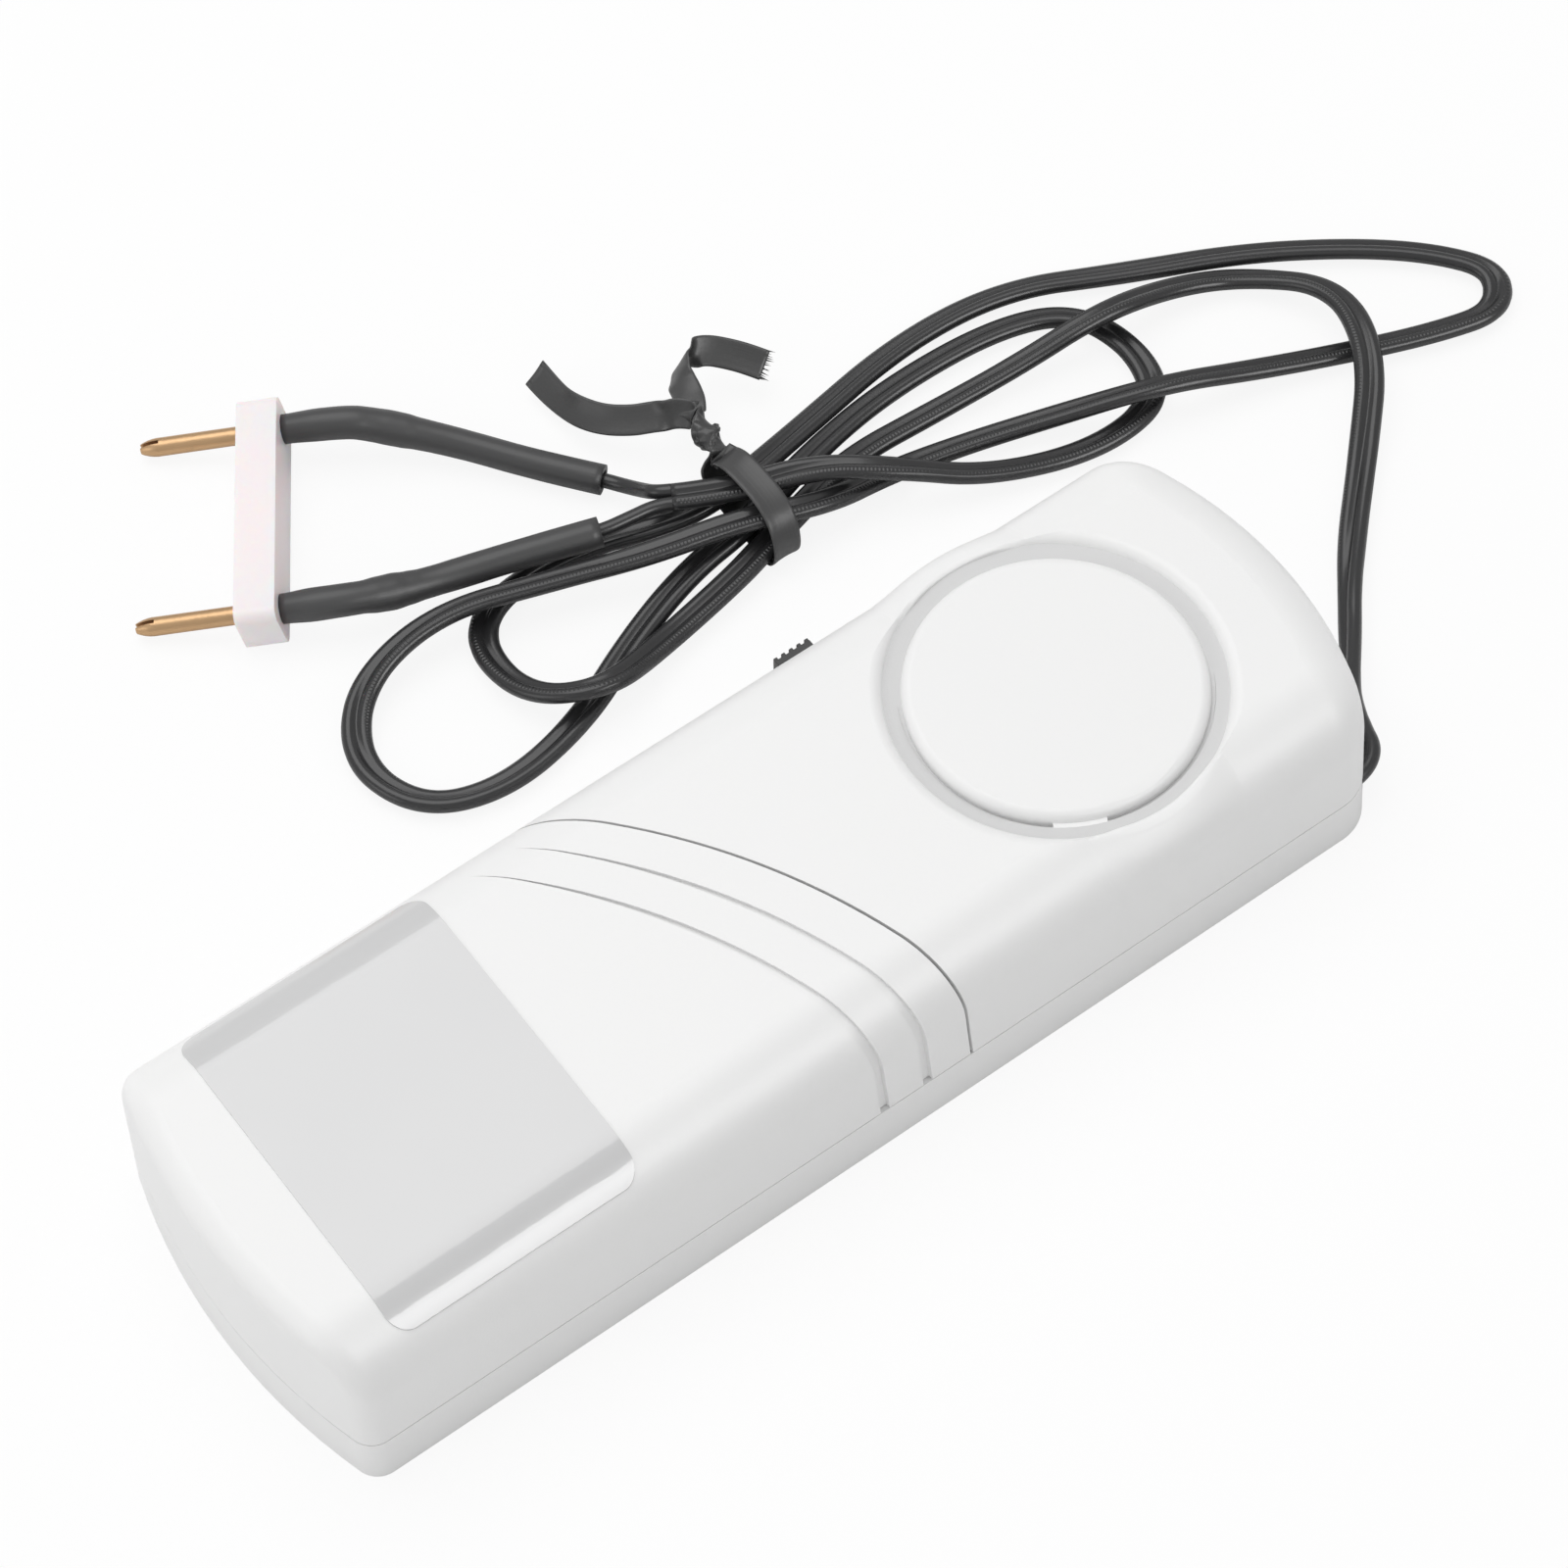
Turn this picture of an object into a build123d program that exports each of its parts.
"""Water leak alarm: a two-part housing with a slide-off battery cover, and a two-pin probe on a tied-up twin cord.

The origin is the centre of the flat base, +X runs along the housing to its sounder end, +Y is the side with the
slide switch, and +Z is up. Every size is in millimetres.
"""
from build123d import *
from math import cos, hypot, pi, radians, sin, sqrt, tan
import os

# Housing: driving sizes
length = 98.0
width = 32.0
height = 17.0
seam = 5.1  # height of the joint between the tray and the two upper mouldings
wall = 1.5
floor = 1.6
seam_gap = 0.1  # width of the visible line at the seam
side_draft = 1.4  # degrees
near_draft = 0.8
far_draft = 4.5
near_bulge = 2.6  # how far each curved end stands out past its corners
far_bulge = 4.1
edge_radius = 5.6  # the two long top edges
near_radius = 2.0  # the rounding all round each end
far_radius = 4.0
fit_gap = 0.15  # clearance between mouldings that slide or nest
least_radius = 0.3

# Joint between the upper shell and the battery cover, an arc in plan that leans on its way down the wall
joint_centre = (length / 2 - 94.9, -25.2)
joint_radius = 52.5
joint_lean = 0.08  # shift along X for each millimetre down
joint_gap = 0.25
lap_depth = 2.5  # how far the shell's lip reaches under the cover
lap_root = 2.0
lap_wall = 0.8

# Battery cover
groove_pitch = 3.9
groove_count = 2
groove_width = 1.0
groove_fade = 0.95  # how much the groove narrows towards the +Y side
groove_depth = 0.4
rib_size = 1.0
rib_low = 6.0
rail_wall = 1.0
rib_back = 5.0 - length / 2
rib_root = 0.3  # how far the rib starts inside the wall
rail_back = 7.0 - length / 2
rail_gap = 2.5  # from the end of a guide rail to the shell's lip
label_x = 17.4 - length / 2
label_length = 20.9
label_width = 28.4
label_corner = 1.6
label_thick = 0.1

# Sounder
disc_x = length / 2 - 22.5
disc_radius = 11.5
slot_radius = 12.8
disc_edge = 0.8
rim_radius = 1.0
bridge_angles = (1, 121, 241)
bridge_width = 4.0
bridge_thick = 0.8
piezo_diameter = 27.0
piezo_thick = 0.25
ceramic_diameter = 20.0
ceramic_thick = 0.2
chamber_wall = 0.9
chamber_depth = 3.6
pocket_depth = 0.7
ledge_width = 0.6

# Circuit board and what stands on it
board_x = length / 2 - 23.1
board_length = 29.0
board_width = 25.4
board_thick = 1.2
board_low = 4.8
board_corner = 1.0
peg_diameter = 1.2
peg_gap = 0.05
post_diameter = 2.8
post_inset = 2.0
chip_place = (board_x + 5.6, -5.5)
chip_diameter = 6.0
chip_height = 1.3
coil_place = (board_x - 6.9, -4.5)
coil_core = 3.0
coil_flange = 6.4
coil_height = 5.0
flange_thick = 0.8
winding_diameter = 5.4
transistor_place = (board_x - 0.7, -7.6)
transistor_diameter = 4.6
transistor_depth = 3.6  # across its flat
transistor_height = 3.6
leg_height = 1.0
leg_pitch = 1.27
leg_diameter = 0.5
leg_hole = 0.9
leg_end = 0.6  # how far a leg comes out under the board
capacitor_place = (board_x + 9.6, 2.5)
capacitor_diameter = 4.0
capacitor_height = 5.0
capacitor_edge = 0.4
capacitor_legs = 1.5
resistor_places = ((board_x - 3.9, 2.0), (board_x - 3.9, 5.0), (board_x + 4.1, 6.5))
resistor_diameter = 1.7
resistor_length = 3.6
resistor_legs = 7.0

# Slide switch, knob at its off end
knob_x = length / 2 - 33.4
knob_z = 8.0
knob_length = 3.2
knob_height = 2.0
knob_out = 1.9  # how far it stands out of the wall
knob_ridges = 5
ridge_depth = 0.35
knob_travel = 2.0
stem_length = 1.6
stem_height = 1.4
slider_length = 4.2
slider_thick = 1.0
frame_length = 8.6
frame_depth = 3.7
frame_height = 3.6
frame_wall = 0.3
base_thick = 0.8
switch_setback = 0.25  # from the housing's wall to the switch
terminal_pitch = 2.5
terminal_size = 0.5
terminal_reach = 1.8
pad_length = 1.6
pad_height = 1.8
pad_thick = 0.2
wiper_length = 3.8
wiper_height = 1.6
wiper_thick = 0.2
run_gap = 0.15  # clearance round the sliding knob
set_gap = 0.05  # clearance between fixed pieces that are slipped together

# Batteries: button cells end to end along X, a coil spring behind them and a plate in front
cell_diameter = 11.6
cell_height = 5.4
cell_cap = 9.6
cap_height = 0.7
cell_count = 3
cell_gap = 0.05
cell_edge = 0.3
cell_start = 22.0 - length / 2
cradle_wall = 1.2
cradle_height = 8.0
end_height = 9.5
spring_wire = 0.5
spring_turns = 3
spring_large = 3.6  # radii of the end turns
spring_small = 1.5
spring_room = 2.5
spring_steps = 8  # points for each turn
contact_thick = 0.3
contact_width = 7.0
contact_low = 3.0
contact_fold = 1.4  # its top folds over the end wall
button_diameter = 3.0
button_height = 0.3

# Case screws
screw_places = (
    (length / 2 - 5.7, 0.0), (length / 2 - 41.0, width / 2 - 5.6), (length / 2 - 41.0, 5.6 - width / 2),
)
screw_diameter = 2.2
screw_length = 8.0
screw_point = 0.6
head_diameter = 3.8
head_height = 1.4
head_radius = 0.5
recess_depth = 2.4
boss_diameter = 5.2
pilot_diameter = 2.3
pilot_depth = 6.5
drive_length = 2.2
drive_width = 0.6
drive_depth = 0.7

# Cord: two cores side by side, and the tube has the section area of both
core_diameter = 1.2
core_gap = 0.04
cord_diameter = core_diameter * sqrt(2)
exit_x = length / 2 - 4.8  # where the cord starts, in its notch
exit_y = 2.4 - width / 2
exit_z = 4.15
exit_width = 2.6
exit_depth = 1.9
turn_share = 0.45  # an arc takes this share of the shorter run beside it
core_run = 1.2  # the parted cores' first run, in line with the cord's last
wire_diameter = 1.0
bundle_x = length / 2 - 49.0  # the cord, the tie and the probe keep their distance to the sounder end
bundle_z = 0.18  # how far the stiff cord holds the bundle up, past the heights that its points give

# Probe: it lies with its pins tipped down to the floor
probe_centre = (bundle_x - 8.3, 56.0, bundle_z + 2.6)
probe_heading = -34.0  # degrees, from the pins to the cord
probe_tip = 10.0  # degrees
pin_pitch = 17.0
pin_diameter = 1.5
pin_out = 8.4
pin_taper = 1.7
pin_nose = 0.4
slit_width = 0.3  # each tip is slit into two tines
slit_depth = 1.6
pin_tail = 3.2
holder_length = 21.0
holder_thick = 3.3
holder_height = 4.6
holder_corner = 0.9
tail_diameter = 1.2
moulded_gap = 0.02
sleeve_diameter = 2.5
sleeve_bore = 1.7
sleeve_straight = 4.8  # the sleeve's run along the pin

# Twist tie round the bundle
tie_x = bundle_x + 23.7
tie_y = 34.3
tie_low = bundle_z + 0.05
tie_reach = 10.2  # outside size across the bundle
tie_rise = 5.6
tie_width = 2.3
tie_thick = 0.5
tie_corner = 2.4
neck_strand = 0.9  # the neck is the ribbon's two ends, twisted round each other
neck_radius = 0.4
neck_turns = 1.5
neck_steps = 8  # points for each turn
neck_start = (bundle_x + 23.6, 39.1, bundle_z + 4.0)
neck_end = (bundle_x + 24.1, 43.0, bundle_z + 4.4)

os.makedirs("parts", exist_ok=True)


def finish(name, part):
    part.label = name
    export_step(part, f"parts/{name}.step")


def half_width(z):
    return width / 2 - z * tan(radians(side_draft))


def far_end(z):
    return length / 2 - z * tan(radians(far_draft))


def near_end(z):
    return -length / 2 + z * tan(radians(near_draft))


def sagitta(bulge, inset, half):
    arc = (width**2 / 4 + bulge**2) / (2 * bulge) - inset
    return arc - sqrt(arc**2 - half**2)


def joint_x(y):
    return joint_centre[0] + sqrt(joint_radius**2 - (y - joint_centre[1]) ** 2)


def outline(z, inset):
    """The housing's outline at a height, inside the outer one by inset."""
    side = half_width(z) - inset
    far, near = far_end(z) - inset, near_end(z) + inset
    far_corner = far - sagitta(far_bulge, inset, side)
    near_corner = near + sagitta(near_bulge, inset, side)
    with BuildSketch(Plane.XY.offset(z), mode=Mode.PRIVATE) as flat:
        with BuildLine():
            Line((near_corner, -side), (far_corner, -side))
            ThreePointArc((far_corner, -side), (far, 0), (far_corner, side))
            Line((far_corner, side), (near_corner, side))
            ThreePointArc((near_corner, side), (near, 0), (near_corner, -side))
        make_face()
    return flat.sketch


def housing_form(inset=0.0, low=0.0):
    """The whole housing as one rounded block, inside the outer surface by inset, from the height low up."""
    with BuildPart(mode=Mode.PRIVATE) as form:
        loft([outline(low, inset), outline(height - inset, inset)], ruled=True)
        fillet(form.edges().filter_by(Axis.X).group_by(Axis.Z)[-1], max(edge_radius - inset, least_radius))
        for end, radius in ((-1, far_radius), (0, near_radius)):
            face = form.faces().filter_by(lambda f: f.geom_type != GeomType.PLANE).sort_by(Axis.X)[end]
            chain = [e for e in face.edges() if e.bounding_box().max.Z > low + seam_gap]
            fillet(chain, max(radius - inset, least_radius))
    return form.part


def skin(shallow, deep, low):
    """What lies between two insets of the housing, from the height low up."""
    with BuildPart(mode=Mode.PRIVATE) as layer:
        add(housing_form(shallow, low))
        add(housing_form(deep, low), mode=Mode.SUBTRACT)
    return layer.part


def slab(low, high):
    """Everything between two heights."""
    with BuildPart(Plane.XY.offset(low), mode=Mode.PRIVATE) as block:
        Box(2 * length, 2 * width, high - low, align=(Align.CENTER, Align.CENTER, Align.MIN))
    return block.part


def cover_side(shift_x=0.0, shift_y=0.0):
    """Everything on the battery cover's side of the joint arc, shifted in plan, leaning as the joint leans."""
    lean = joint_lean * height
    with BuildPart(mode=Mode.PRIVATE) as side:
        with BuildSketch(Plane.XY.offset(height)):
            with Locations((joint_centre[0] + shift_x, joint_centre[1] + shift_y)):
                Circle(joint_radius)
            with Locations((-length, 0)):
                Rectangle(length, 2 * length)
            with Locations((0, joint_centre[1] + shift_y)):
                Rectangle(4 * length, 3 * length, align=(Align.CENTER, Align.MAX), mode=Mode.SUBTRACT)
        extrude(amount=hypot(height, lean), dir=(lean, 0, -height))
    return side.part


def laid(points):
    """Points of the cord, the leads or the tie, moved to where the bundle lies."""
    return [(x + bundle_x, y, z + bundle_z) for x, y, z in points]


def turn_radii(points):
    """The radius of each turn of a route, as large as the two runs beside it allow."""
    spots = [Vector(*p) for p in points]
    radii = []
    for a, b, c in zip(spots, spots[1:], spots[2:]):
        shorter = min((b - a).length, (c - b).length)
        radii.append(turn_share * shorter / tan(radians((b - a).get_angle(c - b) / 2)))
    return radii


def rounded_path(points):
    """Straight runs joined by tangent arcs."""
    with BuildLine(mode=Mode.PRIVATE) as line:
        FilletPolyline(*points, radius=turn_radii(points))
    return line.wire()


def strip(points, breadth, thick):
    """A flat strip along the points, in the plane of its two ends that is level across."""
    start, end = Vector(*points[0]), Vector(*points[-1])
    along = end - start
    plane = Plane(start, x_dir=along, z_dir=along.cross(Vector(-along.Y, along.X, 0)))
    spots = [plane.to_local_coords(Vector(*p)) for p in points]
    flat = [(v.X, v.Y) for v in spots]
    with BuildPart(mode=Mode.PRIVATE) as band:
        with BuildSketch(plane):
            with BuildLine():
                FilletPolyline(*flat, radius=turn_radii(flat))
            trace(line_width=breadth)
        extrude(amount=thick / 2, both=True)
    return band.part


def tube(points, diameter, bore=0.0):
    """A round tube along the rounded path through the points."""
    path = rounded_path(points)
    with BuildPart(mode=Mode.PRIVATE) as pipe:
        with BuildSketch(Plane(origin=path @ 0, z_dir=path % 0)):
            Circle(diameter / 2)
            if bore:
                Circle(bore / 2, mode=Mode.SUBTRACT)
        sweep(path=path)
    return pipe.part


upright = (Align.CENTER, Align.CENTER, Align.MIN)
hanging = (Align.CENTER, Align.CENTER, Align.MAX)
outer = housing_form()
cavity = housing_form(wall, floor)
above_seam = slab(seam + seam_gap / 2, 2 * height)
tray_top = seam - seam_gap / 2
roof = height - wall
nest = wall + fit_gap  # inset of the face that nests inside a wall
nest_inner = nest + lap_wall

# Tray lip: a thicker wall at the sounder end that stands up inside the upper shell
lip_side = cover_side(lap_root + joint_gap)
lip_skin = skin(nest, nest_inner, floor / 2)
lip_foot_skin = skin(wall / 2, nest_inner, floor / 2)
lip_slab = slab(floor / 2, seam + lap_wall)
foot_slab = slab(floor / 2, tray_top)
with BuildPart() as lip:
    add(lip_skin)
    add(lip_slab, mode=Mode.INTERSECT)
    add(lip_side, mode=Mode.SUBTRACT)
with BuildPart() as lip_foot:
    add(lip_foot_skin)
    add(foot_slab, mode=Mode.INTERSECT)
    add(lip_side, mode=Mode.SUBTRACT)

# Battery cradle: a round-bottomed trough with a wall behind each contact
stack = cell_count * cell_height + (cell_count - 1) * cell_gap
cell_z = floor + cell_diameter / 2 + cell_gap
cradle_inner = cell_diameter / 2 + fit_gap
cradle_back = cell_start - spring_room - contact_thick
cradle_front = cell_start + stack + 2 * cell_gap + button_height + contact_thick
with BuildPart(Plane((cradle_back, 0, floor / 2))) as cradle:
    span = cradle_front - cradle_back
    with Locations((span / 2, 0, 0)):
        Box(span, 2 * (cradle_inner + cradle_wall), cradle_height - floor / 2, align=upright)
    with Locations((span / 2, 0, cell_z - floor / 2)):
        Cylinder(cradle_inner, span, rotation=(0, 90, 0), mode=Mode.SUBTRACT)
        Box(span, 2 * cradle_inner, cell_diameter, align=upright, mode=Mode.SUBTRACT)
    for x, side in ((0, Align.MAX), (span, Align.MIN)):
        with Locations((x, 0, 0)):
            Box(
                cradle_wall, 2 * (cradle_inner + cradle_wall), end_height - floor / 2,
                align=(side, Align.CENTER, Align.MIN),
            )

# Guide rails: a web with a flange that holds the cover's ribs down
rail_inset = wall + rib_size + 2 * fit_gap
flange_low = rib_low + rib_size + fit_gap
flange_width = rail_wall + rail_inset - nest - fit_gap
with BuildPart() as rails:
    for side in (-1, 1):
        front = joint_x(side * width / 2) - lap_depth - rail_gap
        inner = side * (half_width(flange_low) - rail_inset - rail_wall)
        inward = Align.MIN if side > 0 else Align.MAX
        with Locations(((rail_back + front) / 2, inner, floor / 2)):
            Box(
                front - rail_back, rail_wall, flange_low + rail_wall - floor / 2,
                align=(Align.CENTER, inward, Align.MIN),
            )
        with Locations(((rail_back + front) / 2, inner, flange_low)):
            Box(front - rail_back, flange_width, rail_wall, align=(Align.CENTER, inward, Align.MIN))

# Tray, with the screw heads sunk in its base
board_corners = [
    (board_x + x * (board_length / 2 - post_inset), y * (board_width / 2 - post_inset))
    for x in (-1, 1) for y in (-1, 1)
]
below_seam = slab(-height, tray_top)
with BuildPart() as bottom_shell:
    add(outer)
    add(below_seam, mode=Mode.INTERSECT)
    add(cavity, mode=Mode.SUBTRACT)
    add([lip.part, lip_foot.part, cradle.part, rails.part])
    for place in screw_places:
        with Locations((*place, floor / 2)):
            Cylinder(boss_diameter / 2, tray_top - floor / 2, align=upright)
        with Locations((*place, 0)):
            Cylinder(head_diameter / 2 + fit_gap, recess_depth, align=upright, mode=Mode.SUBTRACT)
            Cylinder(screw_diameter / 2 + fit_gap, seam, align=upright, mode=Mode.SUBTRACT)
    for place in board_corners:
        with Locations((*place, floor / 2)):
            Cylinder(post_diameter / 2, board_low - floor / 2, align=upright)
        with Locations((*place, board_low)):
            Cylinder(peg_diameter / 2, board_thick, align=upright)
    # notch for the cord, open at the seam
    with Locations((far_end(0) + wall, exit_y, seam - exit_depth)):
        Box(
            far_bulge + 2 * wall + nest_inner, exit_width, exit_depth + lap_wall + seam_gap,
            align=(Align.MAX, Align.CENTER, Align.MIN), mode=Mode.SUBTRACT,
        )
finish("bottom_shell", bottom_shell.part)

# Lap: a lip of the upper shell that reaches under the cover's front edge
lap_low = seam + rib_size
lap_skin = skin(nest, nest_inner, floor)
lap_foot_skin = skin(wall / 2, nest_inner, floor)
lap_slab = slab(lap_low, height)
lap_end = cover_side(lap_root)
lap_tip = cover_side(-lap_depth)
shell_edge = cover_side(joint_gap)
with BuildPart() as lap:
    add(lap_skin)
    add(lap_slab, mode=Mode.INTERSECT)
    add(lap_end, mode=Mode.INTERSECT)
    add(lap_tip, mode=Mode.SUBTRACT)
with BuildPart() as lap_foot:
    add(lap_foot_skin)
    add(lap_slab, mode=Mode.INTERSECT)
    add(lap_end, mode=Mode.INTERSECT)
    add(shell_edge, mode=Mode.SUBTRACT)

# Sounding chamber: a ring under the roof with a ledge for the piezo plate
chamber_outer = piezo_diameter / 2 + fit_gap + chamber_wall
chamber_low = roof - chamber_depth
piezo_z = chamber_low + pocket_depth
with BuildPart(Plane((disc_x, 0, chamber_low))) as chamber:
    Cylinder(chamber_outer, chamber_depth + wall / 4, align=upright)
    Cylinder(piezo_diameter / 2 + fit_gap, pocket_depth, align=upright, mode=Mode.SUBTRACT)
    Cylinder(piezo_diameter / 2 - ledge_width, 2 * chamber_depth, align=upright, mode=Mode.SUBTRACT)

# Bridges that carry the disc across its slot, thinner than the roof
with BuildPart(Plane((disc_x, 0, roof))) as bridges:
    with PolarLocations((disc_radius + slot_radius) / 2, len(bridge_angles), start_angle=bridge_angles[0]):
        Box(slot_radius - disc_radius + wall, bridge_width, bridge_thick, align=upright)

# Upper shell with the sounder disc
wall_y = half_width(knob_z)
with BuildPart() as upper_shell:
    add(outer)
    add(above_seam, mode=Mode.INTERSECT)
    add(cavity, mode=Mode.SUBTRACT)
    with Locations((disc_x, 0, chamber_low)):
        Cylinder(piezo_diameter / 2 + fit_gap, pocket_depth, align=upright, mode=Mode.SUBTRACT)
        Cylinder(piezo_diameter / 2 - ledge_width, chamber_depth, align=upright, mode=Mode.SUBTRACT)
    for place in screw_places:
        with Locations((*place, seam + seam_gap / 2)):
            Cylinder(boss_diameter / 2, roof + wall / 4 - seam, align=upright)
            Cylinder(pilot_diameter / 2, pilot_depth, align=upright, mode=Mode.SUBTRACT)
    add(shell_edge, mode=Mode.SUBTRACT)
    add([lap.part, lap_foot.part, chamber.part])
    # slot round the disc, its outer rim and the disc's edge rounded
    with BuildSketch(Plane((disc_x, 0, height), x_dir=(1, 0, 0), z_dir=(0, -1, 0))):
        with BuildLine():
            rim = (slot_radius + rim_radius, 0)
            RadiusArc((slot_radius, -rim_radius), rim, rim_radius)
            Line(rim, (slot_radius + rim_radius, wall))
            Line((slot_radius + rim_radius, wall), (disc_radius - disc_edge, wall))
            Line((disc_radius - disc_edge, wall), (disc_radius - disc_edge, 0))
            RadiusArc((disc_radius - disc_edge, 0), (disc_radius, -disc_edge), disc_edge)
            Line((disc_radius, -disc_edge), (disc_radius, -2 * wall))
            Line((disc_radius, -2 * wall), (slot_radius, -2 * wall))
            Line((slot_radius, -2 * wall), (slot_radius, -rim_radius))
        make_face()
    revolve(axis=Axis((disc_x, 0, 0), (0, 0, 1)), mode=Mode.SUBTRACT)
    add(bridges.part)
    # slot for the switch knob
    with Locations((knob_x + knob_travel / 2, wall_y, knob_z)):
        Box(
            knob_length + knob_travel + 2 * run_gap, 4 * wall, knob_height + 2 * run_gap,
            mode=Mode.SUBTRACT,
        )
finish("upper_shell", upper_shell.part)

# Battery cover: two curved grooves across it, and a rib inside each long wall that runs under the tray's rails
groove_floor = housing_form(groove_depth)
grooves = []
for k in range(1, groove_count + 1):
    with BuildPart(mode=Mode.PRIVATE) as groove:
        add(cover_side(groove_width / 2 - k * groove_pitch, -groove_fade / 2))
        add(cover_side(-groove_width / 2 - k * groove_pitch, groove_fade / 2), mode=Mode.SUBTRACT)
        add(groove_floor, mode=Mode.SUBTRACT)
    grooves.append(groove.part)
cover_edge = cover_side()
with BuildPart() as battery_cover:
    add(outer)
    add(above_seam, mode=Mode.INTERSECT)
    add(cavity, mode=Mode.SUBTRACT)
    add(cover_edge, mode=Mode.INTERSECT)
    add(grooves, mode=Mode.SUBTRACT)
    for side in (-1, 1):
        front = joint_x(side * width / 2) - lap_depth - rail_gap
        outward = Align.MAX if side > 0 else Align.MIN
        with Locations(((rib_back + front) / 2, side * (half_width(rib_low) - wall + rib_root), rib_low)):
            Box(front - rib_back, rib_size + rib_root, rib_size, align=(Align.CENTER, outward, Align.MIN))
finish("battery_cover", battery_cover.part)

label_skin = skin(-label_thick, 0.0, 0.0)
with BuildPart() as label:
    with BuildSketch(Plane.XY.offset(height / 2)):
        with Locations((label_x, 0)):
            RectangleRounded(label_length, label_width, label_corner)
    extrude(amount=height)
    add(label_skin, mode=Mode.INTERSECT)
finish("label", label.part)

# Sounder: a brass plate under the chamber's ledge, with the piezo ceramic on its underside
with BuildPart(Plane((disc_x, 0, piezo_z))) as piezo_plate:
    Cylinder(piezo_diameter / 2, piezo_thick, align=hanging)
finish("piezo_plate", piezo_plate.part)
ceramic_top = piezo_z - piezo_thick
with BuildPart(Plane((disc_x, 0, ceramic_top))) as piezo_ceramic:
    Cylinder(ceramic_diameter / 2, ceramic_thick, align=hanging)
finish("piezo_ceramic", piezo_ceramic.part)

# Circuit board on the tray's pegs, with a hole for each leg and terminal
board_top = board_low + board_thick
leg_low = board_low - leg_end
switch_x = knob_x + knob_travel / 2
switch_front = wall_y - wall - switch_setback
switch_back = switch_front - frame_depth
terminal_y = switch_back - terminal_reach
terminals = [(switch_x + i * terminal_pitch, terminal_y) for i in (-1, 0, 1)]
transistor_legs = [(transistor_place[0] + i * leg_pitch, transistor_place[1]) for i in (-1, 0, 1)]
capacitor_holes = [(capacitor_place[0] + i * capacitor_legs / 2, capacitor_place[1]) for i in (-1, 1)]
resistor_holes = [(x + i * resistor_legs / 2, y) for x, y in resistor_places for i in (-1, 1)]
with BuildPart() as circuit_board:
    with BuildSketch(Plane.XY.offset(board_low)):
        with Locations((board_x, 0)):
            RectangleRounded(board_length, board_width, board_corner)
        with Locations(*board_corners):
            Circle(peg_diameter / 2 + peg_gap, mode=Mode.SUBTRACT)
        with Locations(*terminals, *transistor_legs, *capacitor_holes, *resistor_holes):
            Circle(leg_hole / 2, mode=Mode.SUBTRACT)
    extrude(amount=board_thick)
finish("circuit_board", circuit_board.part)

# Alarm chip under its dome of resin
dome_radius = (chip_diameter**2 / 4 + chip_height**2) / (2 * chip_height)
with BuildPart() as alarm_chip:
    with Locations((*chip_place, board_top + chip_height - dome_radius)):
        Sphere(dome_radius)
    split(bisect_by=Plane.XY.offset(board_top), keep=Keep.TOP)
finish("alarm_chip", alarm_chip.part)

# Boost coil: a drum core and the wire wound on it
with BuildPart(Plane((*coil_place, board_top))) as boost_coil_core:
    Cylinder(coil_core / 2, coil_height, align=upright)
    with Locations((0, 0, 0), (0, 0, coil_height - flange_thick)):
        Cylinder(coil_flange / 2, flange_thick, align=upright)
finish("boost_coil_core", boost_coil_core.part)
with BuildPart(Plane((*coil_place, board_top + flange_thick + set_gap))) as boost_coil_winding:
    Cylinder(winding_diameter / 2, coil_height - 2 * flange_thick - 2 * set_gap, align=upright)
    Cylinder(coil_core / 2 + set_gap, coil_height, align=upright, mode=Mode.SUBTRACT)
finish("boost_coil_winding", boost_coil_winding.part)

# Transistor that drives the sounder: a flat-faced body on three legs
with BuildPart() as drive_transistor:
    with BuildSketch(Plane.XY.offset(board_top + leg_height)):
        with Locations(transistor_place):
            Circle(transistor_diameter / 2)
        with Locations((transistor_place[0], transistor_place[1] - transistor_depth + transistor_diameter / 2)):
            Rectangle(
                transistor_diameter, transistor_diameter, align=(Align.CENTER, Align.MAX), mode=Mode.SUBTRACT
            )
    extrude(amount=transistor_height)
    with BuildSketch(Plane.XY.offset(leg_low)):
        with Locations(*transistor_legs):
            Circle(leg_diameter / 2)
    extrude(amount=board_top + 2 * leg_height - leg_low)
finish("drive_transistor", drive_transistor.part)

with BuildPart(Plane((*capacitor_place, board_top))) as filter_capacitor:
    can = Cylinder(capacitor_diameter / 2, capacitor_height, align=upright)
    fillet(can.edges().filter_by(GeomType.CIRCLE).sort_by(Axis.Z)[-1], capacitor_edge)
    with Locations((-capacitor_legs / 2, 0, leg_low - board_top), (capacitor_legs / 2, 0, leg_low - board_top)):
        Cylinder(leg_diameter / 2, 2 * (board_top - leg_low), align=upright)
finish("filter_capacitor", filter_capacitor.part)

# Resistors, each a round body on one bent wire
resistor_z = board_top + resistor_diameter / 2 + set_gap
for i, (x, y) in enumerate(resistor_places, start=1):
    reach = resistor_legs / 2
    wire_points = [
        (x - reach, y, leg_low), (x - reach, y, resistor_z), (x + reach, y, resistor_z), (x + reach, y, leg_low),
    ]
    resistor_wire = tube(wire_points, leg_diameter)
    with BuildPart() as resistor:
        add(resistor_wire)
        with Locations((x, y, resistor_z)):
            Cylinder(resistor_diameter / 2, resistor_length, rotation=(0, 90, 0))
    finish(f"resistor_{i}", resistor.part)

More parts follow.
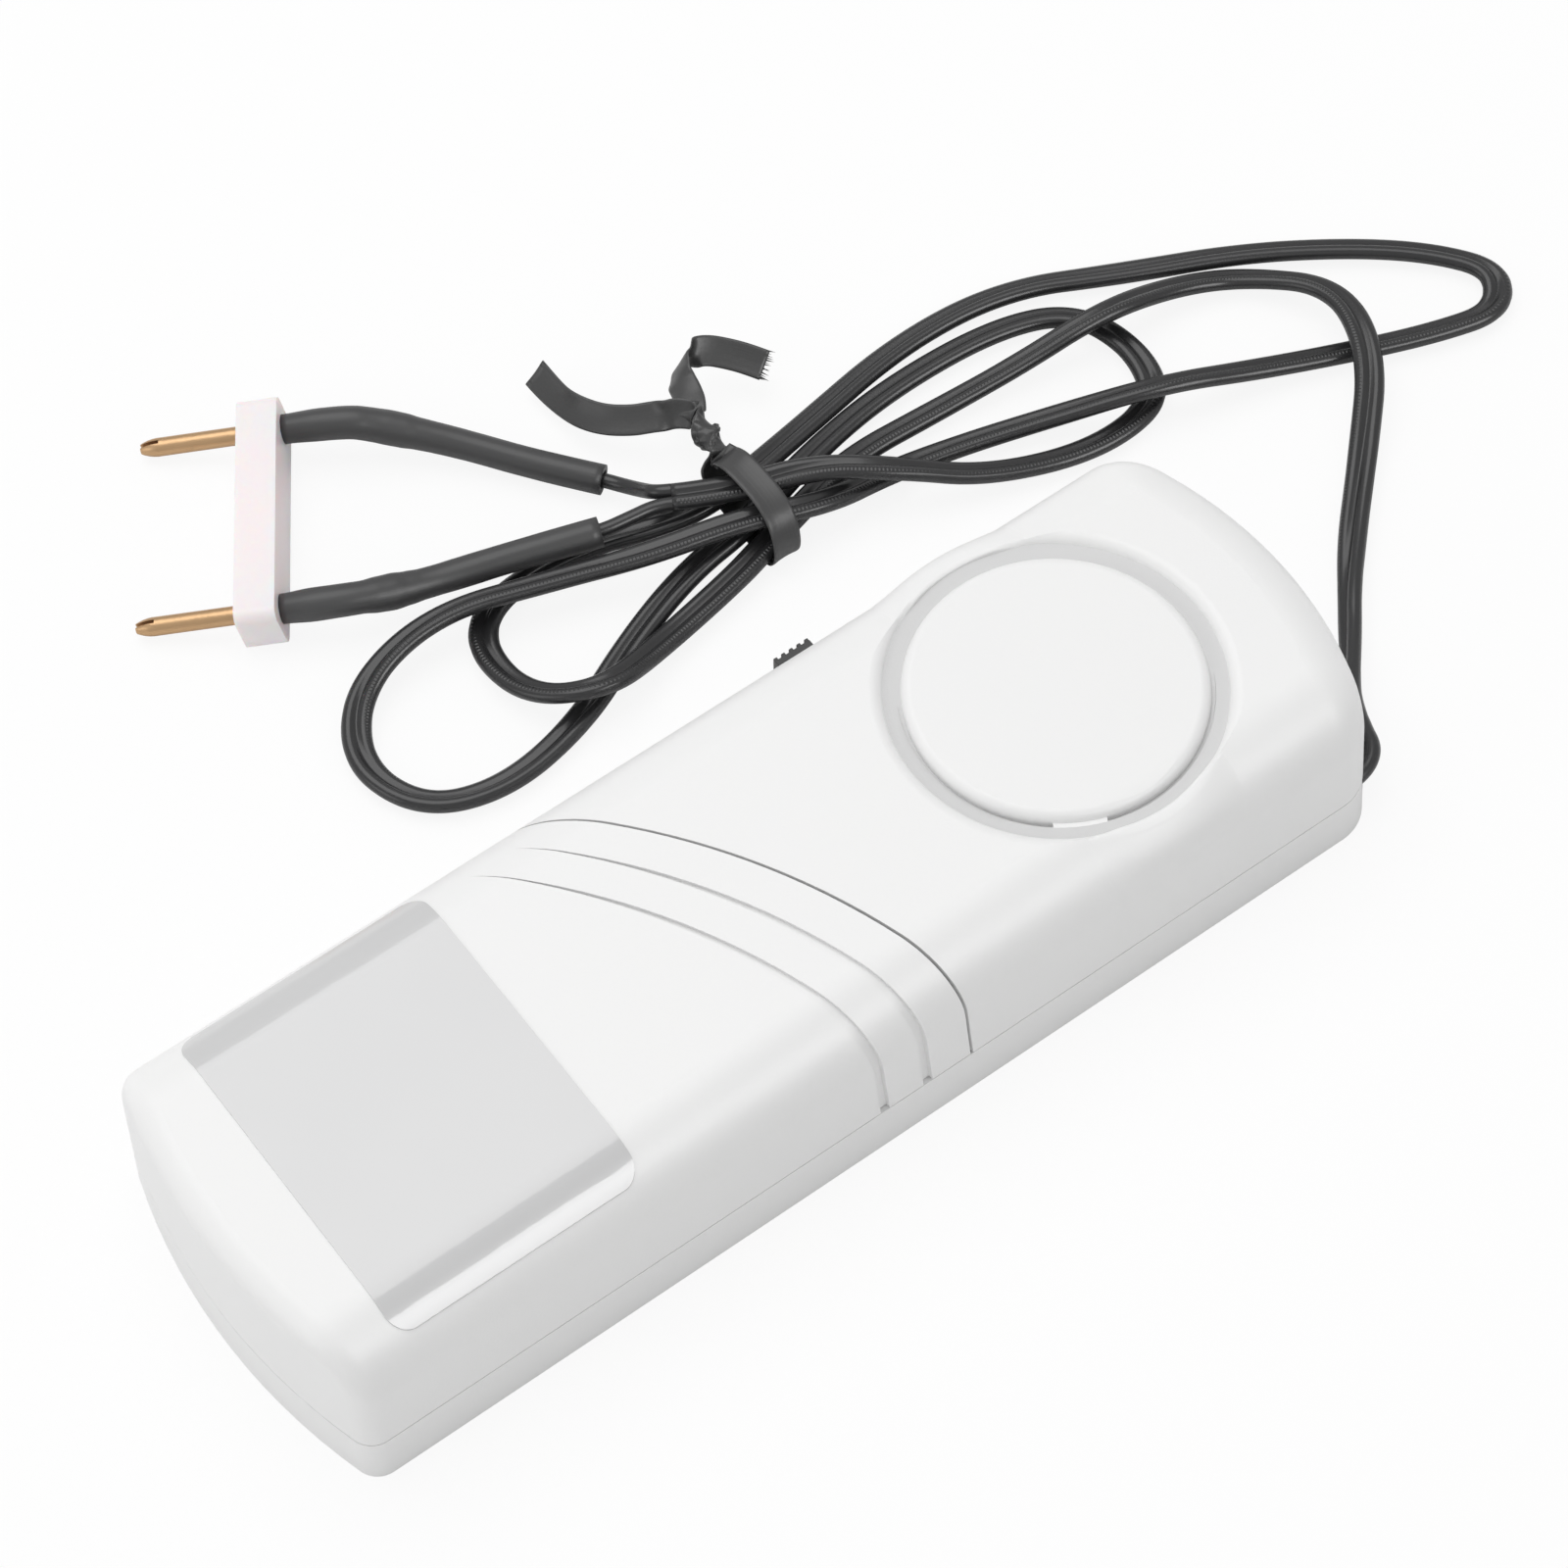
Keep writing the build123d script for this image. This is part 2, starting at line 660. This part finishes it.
# Slide switch: a folded can with a window in its front, a base in its open back, and three terminals
window_x = stem_length + knob_travel + 2 * run_gap
inner_length = frame_length - 2 * frame_wall
inner_height = frame_height - 2 * frame_wall
frame_front = switch_front - frame_wall
with BuildPart(Plane((switch_x, switch_back, knob_z))) as switch_frame:
    Box(frame_length, frame_depth, frame_height, align=(Align.CENTER, Align.MIN, Align.CENTER))
    Box(
        inner_length, frame_depth - frame_wall, inner_height,
        align=(Align.CENTER, Align.MIN, Align.CENTER), mode=Mode.SUBTRACT,
    )
    Box(
        window_x, 2 * frame_depth, stem_height + 2 * run_gap,
        align=(Align.CENTER, Align.MIN, Align.CENTER), mode=Mode.SUBTRACT,
    )
finish("switch_frame", switch_frame.part)

with BuildPart(Plane((switch_x, switch_back, knob_z))) as switch_base:
    Box(
        inner_length - 2 * set_gap, base_thick, inner_height - 2 * set_gap,
        align=(Align.CENTER, Align.MIN, Align.CENTER),
    )
    with GridLocations(terminal_pitch, 1, 3, 1):
        Box(terminal_size + 2 * set_gap, 3 * base_thick, terminal_size + 2 * set_gap, mode=Mode.SUBTRACT)
finish("switch_base", switch_base.part)

pad_y = switch_back + base_thick
for i, (x, y) in enumerate(terminals, start=1):
    with BuildPart() as switch_terminal:
        with BuildSketch(Plane((x, 0, 0), x_dir=(0, 1, 0), z_dir=(1, 0, 0))):
            with BuildLine():
                Polyline((pad_y, knob_z), (y, knob_z), (y, leg_low))
            trace(line_width=terminal_size)
        extrude(amount=terminal_size / 2, both=True)
        with Locations((x, pad_y, knob_z)):
            Box(pad_length, pad_thick, pad_height, align=(Align.CENTER, Align.MIN, Align.CENTER))
    finish(f"switch_terminal_{i}", switch_terminal.part)

# Knob: a ridged finger outside, a stem through the window and a slider inside the can
slider_front = frame_front - run_gap
knob_back = switch_front + run_gap
knob_face = wall_y + knob_out
ridge_pitch = knob_length / knob_ridges
with BuildPart() as switch_knob:
    with Locations((knob_x, knob_back, knob_z)):
        finger = Box(
            knob_length, knob_face - knob_back, knob_height, align=(Align.CENTER, Align.MIN, Align.CENTER)
        )
    fillet(finger.edges().filter_by(Axis.Y), ridge_depth)
    with Locations((knob_x, knob_face, knob_z)):
        with GridLocations(ridge_pitch, 1, knob_ridges - 1, 1):
            Box(ridge_pitch / 2, 2 * ridge_depth, 2 * knob_height, mode=Mode.SUBTRACT)
    with Locations((knob_x, slider_front, knob_z)):
        Box(stem_length, knob_back - slider_front, stem_height, align=(Align.CENTER, Align.MIN, Align.CENTER))
        Box(
            slider_length, slider_thick, inner_height - 2 * run_gap,
            align=(Align.CENTER, Align.MAX, Align.CENTER),
        )
finish("switch_knob", switch_knob.part)

# Wiper: a bent strip on the slider that bridges two of the terminals
wiper_back = slider_front - slider_thick - wiper_thick / 2
wiper_foot = pad_y + pad_thick + run_gap / 2 + wiper_thick / 2
foot = terminal_pitch / 2
with BuildPart() as switch_wiper:
    with BuildSketch(Plane.XY.offset(knob_z)):
        with BuildLine():
            Polyline(
                (knob_x - wiper_length / 2, wiper_back), (knob_x - foot, wiper_foot),
                (knob_x - foot / 2, wiper_back), (knob_x + foot / 2, wiper_back),
                (knob_x + foot, wiper_foot), (knob_x + wiper_length / 2, wiper_back),
            )
        trace(line_width=wiper_thick)
    extrude(amount=wiper_height / 2, both=True)
finish("switch_wiper", switch_wiper.part)

# Button cells, each with its narrower cap towards -X
for i in range(cell_count):
    cell_x = cell_start + i * (cell_height + cell_gap)
    with BuildPart() as button_cell:
        with BuildSketch(Plane((cell_x, 0, cell_z), x_dir=(1, 0, 0), z_dir=(0, -1, 0))):
            with BuildLine():
                Polyline(
                    (0, 0), (0, cell_cap / 2), (cap_height, cell_cap / 2), (cap_height, cell_diameter / 2),
                    (cell_height, cell_diameter / 2), (cell_height, 0), close=True,
                )
            make_face()
        revolve(axis=Axis((0, 0, cell_z), (1, 0, 0)))
        fillet(button_cell.edges().filter_by(GeomType.CIRCLE).sort_by(Axis.X)[-1], cell_edge)
    finish(f"button_cell_{i + 1}", button_cell.part)

# Contacts: each stands against its end wall and folds over the wall's top
fold_z = end_height + contact_thick / 2
contacts = {
    "spring_contact": (cradle_back, 1),
    "button_contact": (cradle_front, -1),
}
for name, (wall_x, inward) in contacts.items():
    middle = wall_x + inward * contact_thick / 2
    with BuildPart() as contact:
        with BuildSketch(Plane.XZ):
            with BuildLine():
                Polyline((middle, contact_low), (middle, fold_z), (wall_x - inward * contact_fold, fold_z))
            trace(line_width=contact_thick)
        extrude(amount=contact_width / 2, both=True)
        if name == "button_contact":
            with Locations((wall_x + inward * contact_thick, 0, cell_z)):
                Cylinder(
                    button_diameter / 2, button_height, rotation=(0, -90, 0),
                    align=(Align.CENTER, Align.CENTER, Align.MIN),
                )
    finish(name, contact.part)

# Contact spring, a cone of wire turns from the plate to the first cell
spring_back = cradle_back + contact_thick + spring_wire / 2 + cell_gap
spring_front = cell_start - spring_wire / 2 - cell_gap
steps = spring_turns * spring_steps
coil_points = []
for i in range(steps + 1):
    share = i / steps
    radius = spring_large + (spring_small - spring_large) * share
    angle = radians(360 / spring_steps * i)
    coil_points.append(
        (spring_back + (spring_front - spring_back) * share, radius * cos(angle), cell_z + radius * sin(angle))
    )
finish("battery_spring", tube(coil_points, spring_wire))

# Case screws, driven from below
head_low = recess_depth - head_height
for i, place in enumerate(screw_places, start=1):
    with BuildPart(Plane((*place, head_low))) as case_screw:
        head = Cylinder(head_diameter / 2, head_height, align=upright)
        fillet(head.edges().filter_by(GeomType.CIRCLE).sort_by(Axis.Z)[0], head_radius)
        with Locations((0, 0, head_height)):
            shank = Cylinder(screw_diameter / 2, screw_length, align=upright)
        chamfer(case_screw.edges().filter_by(GeomType.CIRCLE).sort_by(Axis.Z)[-1], screw_point)
        with Locations((0, 0, 0)):
            Box(drive_length, drive_width, 2 * drive_depth, mode=Mode.SUBTRACT)
            Box(drive_width, drive_length, 2 * drive_depth, mode=Mode.SUBTRACT)
    finish(f"case_screw_{i}", case_screw.part)

# Wires inside the housing, each soldered at both ends
lift = wire_diameter / 2 + moulded_gap
fold_top = end_height + contact_thick + lift
back_fold = cradle_back - contact_fold / 2
front_fold = cradle_front + contact_fold / 2
wire_low = floor + lift + moulded_gap
board_near = board_x - board_length / 2
wires = {
    "battery_wire_negative": [
        (back_fold, 1.5, fold_top), (back_fold, -7.8, fold_top), (back_fold, -9.6, 7.0),
        (cell_start - 2.2, -9.6, 3.4), (cell_start + 2.0, -9.6, wire_low), (cell_start + 15.0, -9.4, wire_low),
        (board_near - 11.4, -8.8, wire_low), (board_near - 5.8, -6.5, 2.6), (board_near - 1.6, -6.3, 5.2),
        (board_near, -6.3, 7.8), (board_near + 1.8, -6.3, 8.0), (board_near + 1.8, -6.3, board_top),
    ],
    "battery_wire_positive": [
        (front_fold, 1.5, fold_top), (front_fold, -4.6, fold_top), (front_fold + 1.9, -6.2, 9.0),
        (front_fold + 3.4, -5.6, 4.6), (front_fold + 5.4, -5.0, wire_low), (board_near - 4.8, -4.6, 2.5),
        (board_near - 2.0, -4.6, 5.0), (board_near - 0.2, -4.6, 7.8), (board_near + 1.8, -4.6, 8.0),
        (board_near + 1.8, -4.6, board_top),
    ],
    "piezo_wire_ceramic": [
        (board_x + 5.1, -1.0, ceramic_top - ceramic_thick), (board_x + 5.1, -1.0, 10.6),
        (board_x + 8.7, -1.4, 8.4), (board_x + 8.7, -1.4, board_top),
    ],
    "piezo_wire_plate": [
        (board_x + 12.2, -1.0, ceramic_top), (board_x + 12.2, -1.0, 10.8),
        (board_x + 11.5, -3.2, 8.6), (board_x + 11.5, -3.2, board_top),
    ],
}
for name, points in wires.items():
    finish(name, tube(points, wire_diameter))

# The cord's two cores, split inside the housing
core_step = (core_diameter + core_gap) / 2
cores = {
    "sensor_core_outer": [
        (exit_x, exit_y - core_step, exit_z), (exit_x - 1.5, exit_y - core_step, exit_z),
        (exit_x - 3.3, exit_y + 0.6, 6.9), (exit_x - 6.0, exit_y + 3.2, 8.2), (exit_x - 7.6, exit_y + 4.8, 8.2),
        (exit_x - 7.6, exit_y + 4.8, board_top),
    ],
    "sensor_core_inner": [
        (exit_x, exit_y + core_step, exit_z), (exit_x - 1.0, exit_y + core_step, exit_z),
        (exit_x - 2.9, exit_y + 2.6, 6.9), (exit_x - 4.4, exit_y + 5.4, 8.4), (exit_x - 5.6, exit_y + 7.2, 8.4),
        (exit_x - 5.6, exit_y + 7.2, board_top),
    ],
}
for name, points in cores.items():
    finish(name, tube(points, core_diameter))

# Probe: its plane has X along the pins towards the cord and Y across them
probe = Plane(Location(probe_centre, (0, 0, probe_heading)) * Location((0, 0, 0), (0, -probe_tip, 0)))
pin_places = {"upper": pin_pitch / 2, "lower": -pin_pitch / 2}
with BuildPart(probe) as probe_holder:
    holder = Box(holder_thick, holder_length, holder_height)
    fillet(holder.edges().filter_by(lambda e: abs((e % 0).dot(probe.x_dir)) > 0.9), holder_corner)
    with Locations((0, pin_pitch / 2, 0), (0, -pin_pitch / 2, 0)):
        Cylinder(pin_diameter / 2 + moulded_gap, 2 * holder_thick, rotation=(0, 90, 0), mode=Mode.SUBTRACT)
finish("probe_holder", probe_holder.part)

pin_tip = -holder_thick / 2 - pin_out
tail_end = holder_thick / 2 + pin_tail
for name, pin_y in pin_places.items():
    pin_axis = probe.shift_origin(probe.from_local_coords((0, pin_y, 0)))
    with BuildPart() as pin:
        with BuildSketch(pin_axis):
            with BuildLine():
                Polyline(
                    (pin_tip, 0), (tail_end, 0), (tail_end, tail_diameter / 2),
                    (holder_thick / 2, tail_diameter / 2), (holder_thick / 2, pin_diameter / 2),
                    (pin_tip + pin_taper, pin_diameter / 2),
                )
                ThreePointArc(
                    (pin_tip + pin_taper, pin_diameter / 2),
                    (pin_tip + pin_taper / 3, (pin_nose + pin_diameter / 2) / 2 + set_gap),
                    (pin_tip, pin_nose),
                )
                Line((pin_tip, pin_nose), (pin_tip, 0))
            make_face()
        revolve(axis=Axis(pin_axis.origin, pin_axis.x_dir))
        with Locations(pin_axis.location * Location((pin_tip, 0, 0))):
            Box(2 * slit_depth, slit_width, 2 * pin_diameter, mode=Mode.SUBTRACT)
    finish(f"pin_{name}", pin.part)

# Cord: its route from the housing to the tie, then the hank, wound loop by loop through the tie
from_exit = [
    (48.9, -9.9, 2.9), (52.6, -4.4, 1.0), (58.8, 3.2, 0.9), (65.8, 10.0, 1.2), (71.4, 15.8, 3.8), (73.8, 23.2, 2.8),
    (69.4, 29.3, 0.9), (64.0, 31.6, 1.6), (56.6, 31.9, 3.9), (49.0, 33.0, 1.6), (41.0, 33.8, 0.9), (33.0, 34.2, 1.0),
    (26.6, 32.3, 1.6), (22.0, 31.0, 1.6),
]
feed = [(exit_x, exit_y, exit_z), (exit_x + 3.6, exit_y, exit_z), *laid(from_exit)]
small_left_loop = [
    (18.6, 30.04, 1.6), (10.2, 28.6, 1.3), (4.0, 26.6, 3.9), (-0.6, 30.6, 1.9), (-0.9, 37.0, 0.9),
    (2.4, 40.2, 0.9), (10.6, 40.2, 0.9), (18.0, 37.2, 1.4), (24.0, 37.2, 1.6),
]
large_right_loop = [
    (31.5, 38.7, 1.1), (43.0, 40.8, 0.9), (53.0, 40.0, 0.9), (61.5, 35.6, 0.9), (70.6, 31.4, 0.9),
    (78.2, 26.4, 0.9), (83.2, 22.0, 0.9), (86.2, 17.6, 0.9), (83.6, 14.4, 0.9), (78.2, 15.8, 0.9),
    (72.0, 18.2, 0.9), (64.2, 21.2, 1.5), (56.0, 23.5, 3.8), (47.6, 27.6, 1.5), (40.6, 30.0, 0.9),
    (34.4, 31.3, 0.9), (28.0, 30.4, 3.6), (21.8, 32.9, 3.9),
]
large_left_loop = [
    (13.9, 34.9, 3.5), (6.5, 37.6, 3.2), (-2.6, 40.6, 3.2), (-10.6, 39.4, 1.7), (-14.5, 34.0, 0.9),
    (-12.5, 27.7, 0.9), (-6.3, 25.4, 0.9), (1.6, 26.8, 0.9), (9.2, 30.6, 0.9), (16.4, 33.0, 1.2), (22.6, 33.6, 1.6),
]
middle_right_loop = [
    (30.6, 36.3, 1.1), (39.5, 37.8, 0.9), (50.0, 37.4, 0.9), (56.2, 34.8, 0.9), (57.9, 28.9, 0.9),
    (56.2, 23.8, 0.9), (49.1, 23.1, 0.9), (40.4, 26.0, 1.5), (34.0, 29.4, 4.3), (28.8, 33.2, 4.7),
    (22.6, 35.6, 3.9), (18.4, 38.0, 3.8),
]
hank = [feed[-1], *laid(small_left_loop + large_right_loop + large_left_loop + middle_right_loop)]
cord_area = pi * cord_diameter**2 / 4
for name, points in {"cord_feed": feed, "cord_hank": hank}.items():
    cord = tube(points, cord_diameter)
    run = rounded_path(points).length
    print(name, "length", round(run, 1))
    print(name, "volume over section times length", round(cord.volume / (cord_area * run), 4))
    print(name, "radii", [round(r, 1) for r in turn_radii(points)])
    finish(name, cord)

# The least gap between turns of the hank, between points a millimetre apart along it
hank_route = rounded_path(hank)
count = round(hank_route.length)
spots = [hank_route @ (i / count) for i in range(count + 1)]
apart = round(5 * cord_diameter)
least = min((a - b).length for i, a in enumerate(spots) for b in spots[i + apart:])
print("hank least gap to itself", round(least - cord_diameter, 2))

# Past the hank the two cores part, and each runs in a sleeve to its pin
sleeve_bends = {
    "upper": [(3.9, 58.0, 3.0), (6.3, 55.7, 2.4), (9.0, 52.8, 1.8), (12.5, 48.1, 1.4), (15.9, 43.9, 1.3)],
    "lower": [(-3.6, 44.1, 2.8), (0.6, 43.1, 2.3), (6.0, 41.1, 3.0), (12.1, 38.8, 3.5)],
}
core_bends = {
    "upper": [(16.7, 42.6, 1.5), (17.4, 40.8, 2.3)],
    "lower": [(14.6, 38.4, 3.6)],
}
hank_end = Vector(*hank[-1])
hank_dir = (hank_end - Vector(*hank[-2])).normalized()
beside = Vector(-hank_dir.Y, hank_dir.X, 0).normalized() * core_step
for name, pin_y in pin_places.items():
    base = tuple(probe.from_local_coords(Vector(holder_thick / 2, pin_y, 0)))
    bend = tuple(probe.from_local_coords(Vector(holder_thick / 2 + sleeve_straight, pin_y, 0)))
    tail = tuple(probe.from_local_coords(Vector(tail_end, pin_y, 0)))
    start = hank_end - beside if name == "upper" else hank_end + beside
    sleeve_route = [base, bend, *laid(sleeve_bends[name])]
    core_route = [
        tail, bend, *laid(sleeve_bends[name] + core_bends[name]), tuple(start + hank_dir * core_run), tuple(start),
    ]
    finish(f"sleeve_{name}", tube(sleeve_route, sleeve_diameter, sleeve_bore))
    finish(f"lead_{name}", tube(core_route, core_diameter))

# Twist tie: a ribbon round the bundle, whose two ends are twisted into a neck and then lie apart
tie_z = tie_low + tie_rise / 2
neck_line = Vector(*neck_end) - Vector(*neck_start)
neck_plane = Plane(neck_start, x_dir=(0, 0, 1), z_dir=neck_line)
neck_points = round(neck_turns * neck_steps)
strands = []
for side in (1, -1):
    turns = []
    for i in range(neck_points + 1):
        angle = radians(360 / neck_steps * i)
        spot = Vector(
            side * neck_radius * cos(angle), side * neck_radius * sin(angle), neck_line.length * i / neck_points
        )
        turns.append(tuple(neck_plane.from_local_coords(spot)))
    strands.append(tube(turns, neck_strand))
left_tail = [
    (24.0, 42.0, 4.4), (23.3, 44.0, 4.0), (21.9, 45.4, 3.7), (20.0, 47.1, 3.2), (18.3, 49.5, 2.7),
    (17.5, 52.4, 2.1), (17.6, 55.9, 1.4),
]
right_tail = [
    (24.3, 42.0, 4.4), (24.7, 44.0, 4.1), (24.8, 46.2, 3.9), (26.2, 48.0, 3.5), (28.3, 48.2, 3.2),
    (30.1, 46.9, 3.0), (32.2, 45.0, 2.8),
]
left_strip = strip(laid(left_tail), tie_width, tie_thick)
right_strip = strip(laid(right_tail), tie_width, tie_thick)
with BuildPart() as twist_tie:
    with BuildSketch(Plane((tie_x, tie_y, tie_z), x_dir=(0, 1, 0), z_dir=(1, 0, 0))):
        RectangleRounded(tie_reach, tie_rise, tie_corner)
        offset(amount=-tie_thick, mode=Mode.SUBTRACT)
    extrude(amount=tie_width / 2, both=True)
    add([*strands, left_strip, right_strip])
finish("twist_tie", twist_tie.part)
